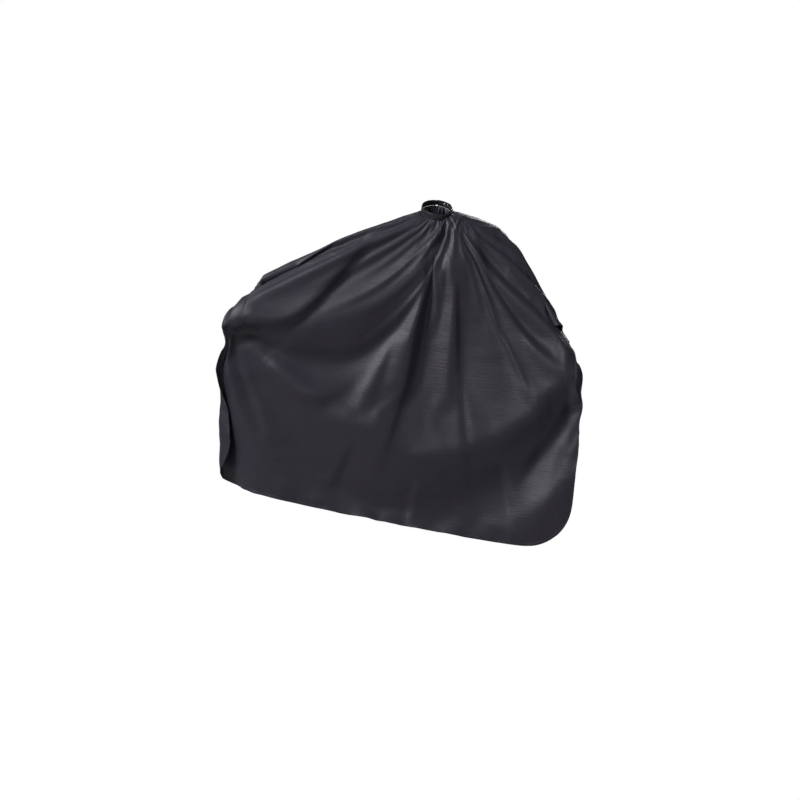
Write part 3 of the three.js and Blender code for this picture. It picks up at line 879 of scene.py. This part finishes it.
def stitch_tree():
    """Lays short round-ended stitches along lines, at a pitch."""
    tree = bpy.data.node_groups.new("Stitches", "GeometryNodeTree")
    sockets = {}
    face = tree.interface
    face.new_socket("Geometry", in_out="INPUT", socket_type="NodeSocketGeometry")
    for name in ("Pitch", "Length", "Thickness"):
        made = face.new_socket(name, in_out="INPUT", socket_type="NodeSocketFloat")
        sockets[name] = made.identifier
    made = face.new_socket("Thread", in_out="INPUT", socket_type="NodeSocketMaterial")
    sockets["Thread"] = made.identifier
    face.new_socket("Geometry", in_out="OUTPUT", socket_type="NodeSocketGeometry")
    add, link = tree.nodes.new, tree.links.new
    given, result = add("NodeGroupInput"), add("NodeGroupOutput")
    curve = add("GeometryNodeMeshToCurve")
    link(given.outputs["Geometry"], curve.inputs["Mesh"])
    even = add("GeometryNodeResampleCurve")
    even.mode = "LENGTH"
    link(curve.outputs["Curve"], even.inputs["Curve"])
    link(given.outputs["Pitch"], even.inputs["Length"])
    tangent = add("GeometryNodeInputTangent")
    align = add("FunctionNodeAlignRotationToVector")
    align.axis = "Z"
    link(tangent.outputs["Tangent"], align.inputs["Vector"])
    stitch = add("GeometryNodeMeshUVSphere")
    stitch.inputs["Segments"].default_value = 6
    stitch.inputs["Rings"].default_value = 5
    stitch.inputs["Radius"].default_value = 0.5
    size = add("ShaderNodeCombineXYZ")
    link(given.outputs["Thickness"], size.inputs["X"])
    link(given.outputs["Thickness"], size.inputs["Y"])
    link(given.outputs["Length"], size.inputs["Z"])
    place = add("GeometryNodeInstanceOnPoints")
    link(even.outputs["Curve"], place.inputs["Points"])
    link(stitch.outputs["Mesh"], place.inputs["Instance"])
    link(align.outputs["Rotation"], place.inputs["Rotation"])
    link(size.outputs["Vector"], place.inputs["Scale"])
    real = add("GeometryNodeRealizeInstances")
    link(place.outputs["Instances"], real.inputs["Geometry"])
    smooth = add("GeometryNodeSetShadeSmooth")
    link(real.outputs["Geometry"], smooth.inputs["Geometry"])
    finish = add("GeometryNodeSetMaterial")
    link(smooth.outputs["Geometry"], finish.inputs["Geometry"])
    link(given.outputs["Thread"], finish.inputs["Material"])
    link(finish.outputs["Geometry"], result.inputs["Geometry"])
    return tree, sockets


stitches, stitch_sockets = stitch_tree()


def stitched(name, lines, pitch, length, thickness):
    """A piece of stitches along one or more lines of points."""
    mesh = bpy.data.meshes.new(name)
    points = np.concatenate(lines)
    starts = np.cumsum([0] + [len(line) for line in lines])
    edges = [(k, k + 1) for a, b in zip(starts, starts[1:]) for k in range(a, b - 1)]
    mesh.from_pydata(points.tolist(), edges, [])
    lines_object = bpy.data.objects.new(name, mesh)
    scene.collection.objects.link(lines_object)
    maker = lines_object.modifiers.new("Stitches", "NODES")
    maker.node_group = stitches
    values = {"Pitch": pitch, "Length": length, "Thickness": thickness, "Thread": thread}
    for key, value in values.items():
        maker[stitch_sockets[key]] = value
    shown = lines_object.evaluated_get(bpy.context.evaluated_depsgraph_get())
    made = bpy.data.meshes.new_from_object(shown)
    lines_object.modifiers.clear()
    lines_object.data = made
    return lines_object


THREAD = 0.0004
STITCH_MARGIN = 0.0025
BAND_PITCH, BAND_STITCH = 0.0026, 0.0021
HEM_PITCH, HEM_STITCH = 0.0034, 0.0027
thread_rise = THREAD * 0.2
thread_at = outer_at + PLY + thread_rise
for row, level in (("upper", 1), ("lower", -1)):
    height = level * (BAND_HEIGHT / 2 - STITCH_MARGIN)
    angles = np.linspace(BAND_END + 1, 359.4 - TAB_SEAM, 700)
    line = neck_ring(angles, np.full(angles.shape, thread_at), height)
    seam = stitched("band_stitches_" + row, [line], BAND_PITCH, BAND_STITCH, THREAD)
    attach(seam, "cape")
    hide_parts("neckband_topstitch_" + row)
    height = level * (TAB_HEIGHT / 2 - STITCH_MARGIN)
    angles = np.linspace(tab_angles[0] + 0.6, tab_end - 1, 300)
    line = neck_ring(angles, thread_at + tab_rise(angles), height)
    seam = stitched("tab_stitches_" + row, [line], BAND_PITCH, BAND_STITCH, THREAD)
    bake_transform(seam)
    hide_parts("tab_topstitch_" + row)

HEM_ROW = 0.0082
on_top = edge + into_cloth * HEM_ROW + edge_normal * (CLOTH_THICKNESS / 2 + thread_rise)
under = edge + into_cloth * HEM_ROW - edge_normal * (hem_sink + HEM_THICKNESS / 2 + thread_rise)
hem_seam = stitched("hem_stitches", [on_top, under], HEM_PITCH, HEM_STITCH, THREAD)
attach(hem_seam, "cape")

# ---- Floor, light and camera ----
# A pale paper floor, a large soft light from the upper left, a weak one from the right and
# one from behind.

FLOOR_Z = -1.57


def paper():
    """Matt paper that shows as plain white, and throws light on the cape as grey paper does."""
    material, shader = new_material("background paper")
    place = add_node(material, "ShaderNodeTexCoord").outputs["Object"]
    grain = add_node(material, "ShaderNodeTexNoise", {"Scale": 40.0, "Detail": 3.0},
                     {"Vector": place})
    tone = add_node(material, "ShaderNodeMix", {"data_type": "RGBA"}, {0: grain.outputs["Fac"]})
    tone.inputs[6].default_value = linear("#c8c8c8")
    tone.inputs[7].default_value = linear("#cecece")
    material.node_tree.links.new(tone.outputs[2], shader.inputs["Base Color"])
    shader.inputs["Roughness"].default_value = 0.9
    path = add_node(material, "ShaderNodeLightPath")
    white = add_node(material, "ShaderNodeEmission", {"Color": (1, 1, 1, 1), "Strength": 1.0})
    both = add_node(material, "ShaderNodeMixShader", links={
        0: path.outputs["Is Camera Ray"], 1: shader.outputs[0], 2: white.outputs[0]})
    add_node(material, "ShaderNodeOutputMaterial", {"is_active_output": True},
             {"Surface": both.outputs[0]})
    return material


FLOOR_REACH = 30.0
corners = np.array([[(x, y, FLOOR_Z) for y in (-FLOOR_REACH, FLOOR_REACH)]
                    for x in (-FLOOR_REACH, FLOOR_REACH)])
floor = mesh_piece("floor", corners, grid_faces(2, 2), corners[..., :2], paper())


def soft_light(name, place, aim, size, power):
    """A square soft box."""
    lamp = bpy.data.lights.new(name, "AREA")
    lamp.size = size
    lamp.energy = power
    light = bpy.data.objects.new(name, lamp)
    light.location = place
    light.rotation_euler = (Vector(aim) - Vector(place)).to_track_quat("-Z", "Y").to_euler()
    scene.collection.objects.link(light)


middle = (-0.12, 0.0, -0.55)
soft_light("key", (-2.6, -1.9, 2.1), (-0.12, 0.0, -0.3), 1.3, 320)
soft_light("fill", (2.4, -3.2, 0.9), middle, 1.4, 30)
soft_light("back", (1.2, 3.4, 1.6), middle, 1.8, 90)
# The room lights the cape weakly from all sides, and shows as plain white behind it
world = bpy.data.worlds.new("studio")
world.use_nodes = True
world.node_tree.nodes.clear()
room, seen = [
    add_node(world, "ShaderNodeBackground", {"Strength": strength}) for strength in (0.22, 1.0)]
for background in (room, seen):
    background.inputs["Color"].default_value = (1, 1, 1, 1)
path = add_node(world, "ShaderNodeLightPath")
both = add_node(world, "ShaderNodeMixShader", links={
    0: path.outputs["Is Camera Ray"], 1: room.outputs[0], 2: seen.outputs[0]})
add_node(world, "ShaderNodeOutputWorld", links={"Surface": both.outputs[0]})
scene.world = world
scene.view_settings.view_transform = "Standard"

CAMERA_DISTANCE = 8.0
VIEW_WIDTH = 2.676
lens = bpy.data.cameras.new("camera")
lens.lens = lens.sensor_width * CAMERA_DISTANCE / VIEW_WIDTH
camera = bpy.data.objects.new("camera", lens)
camera.location = (-0.1238, -CAMERA_DISTANCE, -0.6356)
camera.rotation_euler = (math.pi / 2, 0, 0)
scene.collection.objects.link(camera)
scene.camera = camera
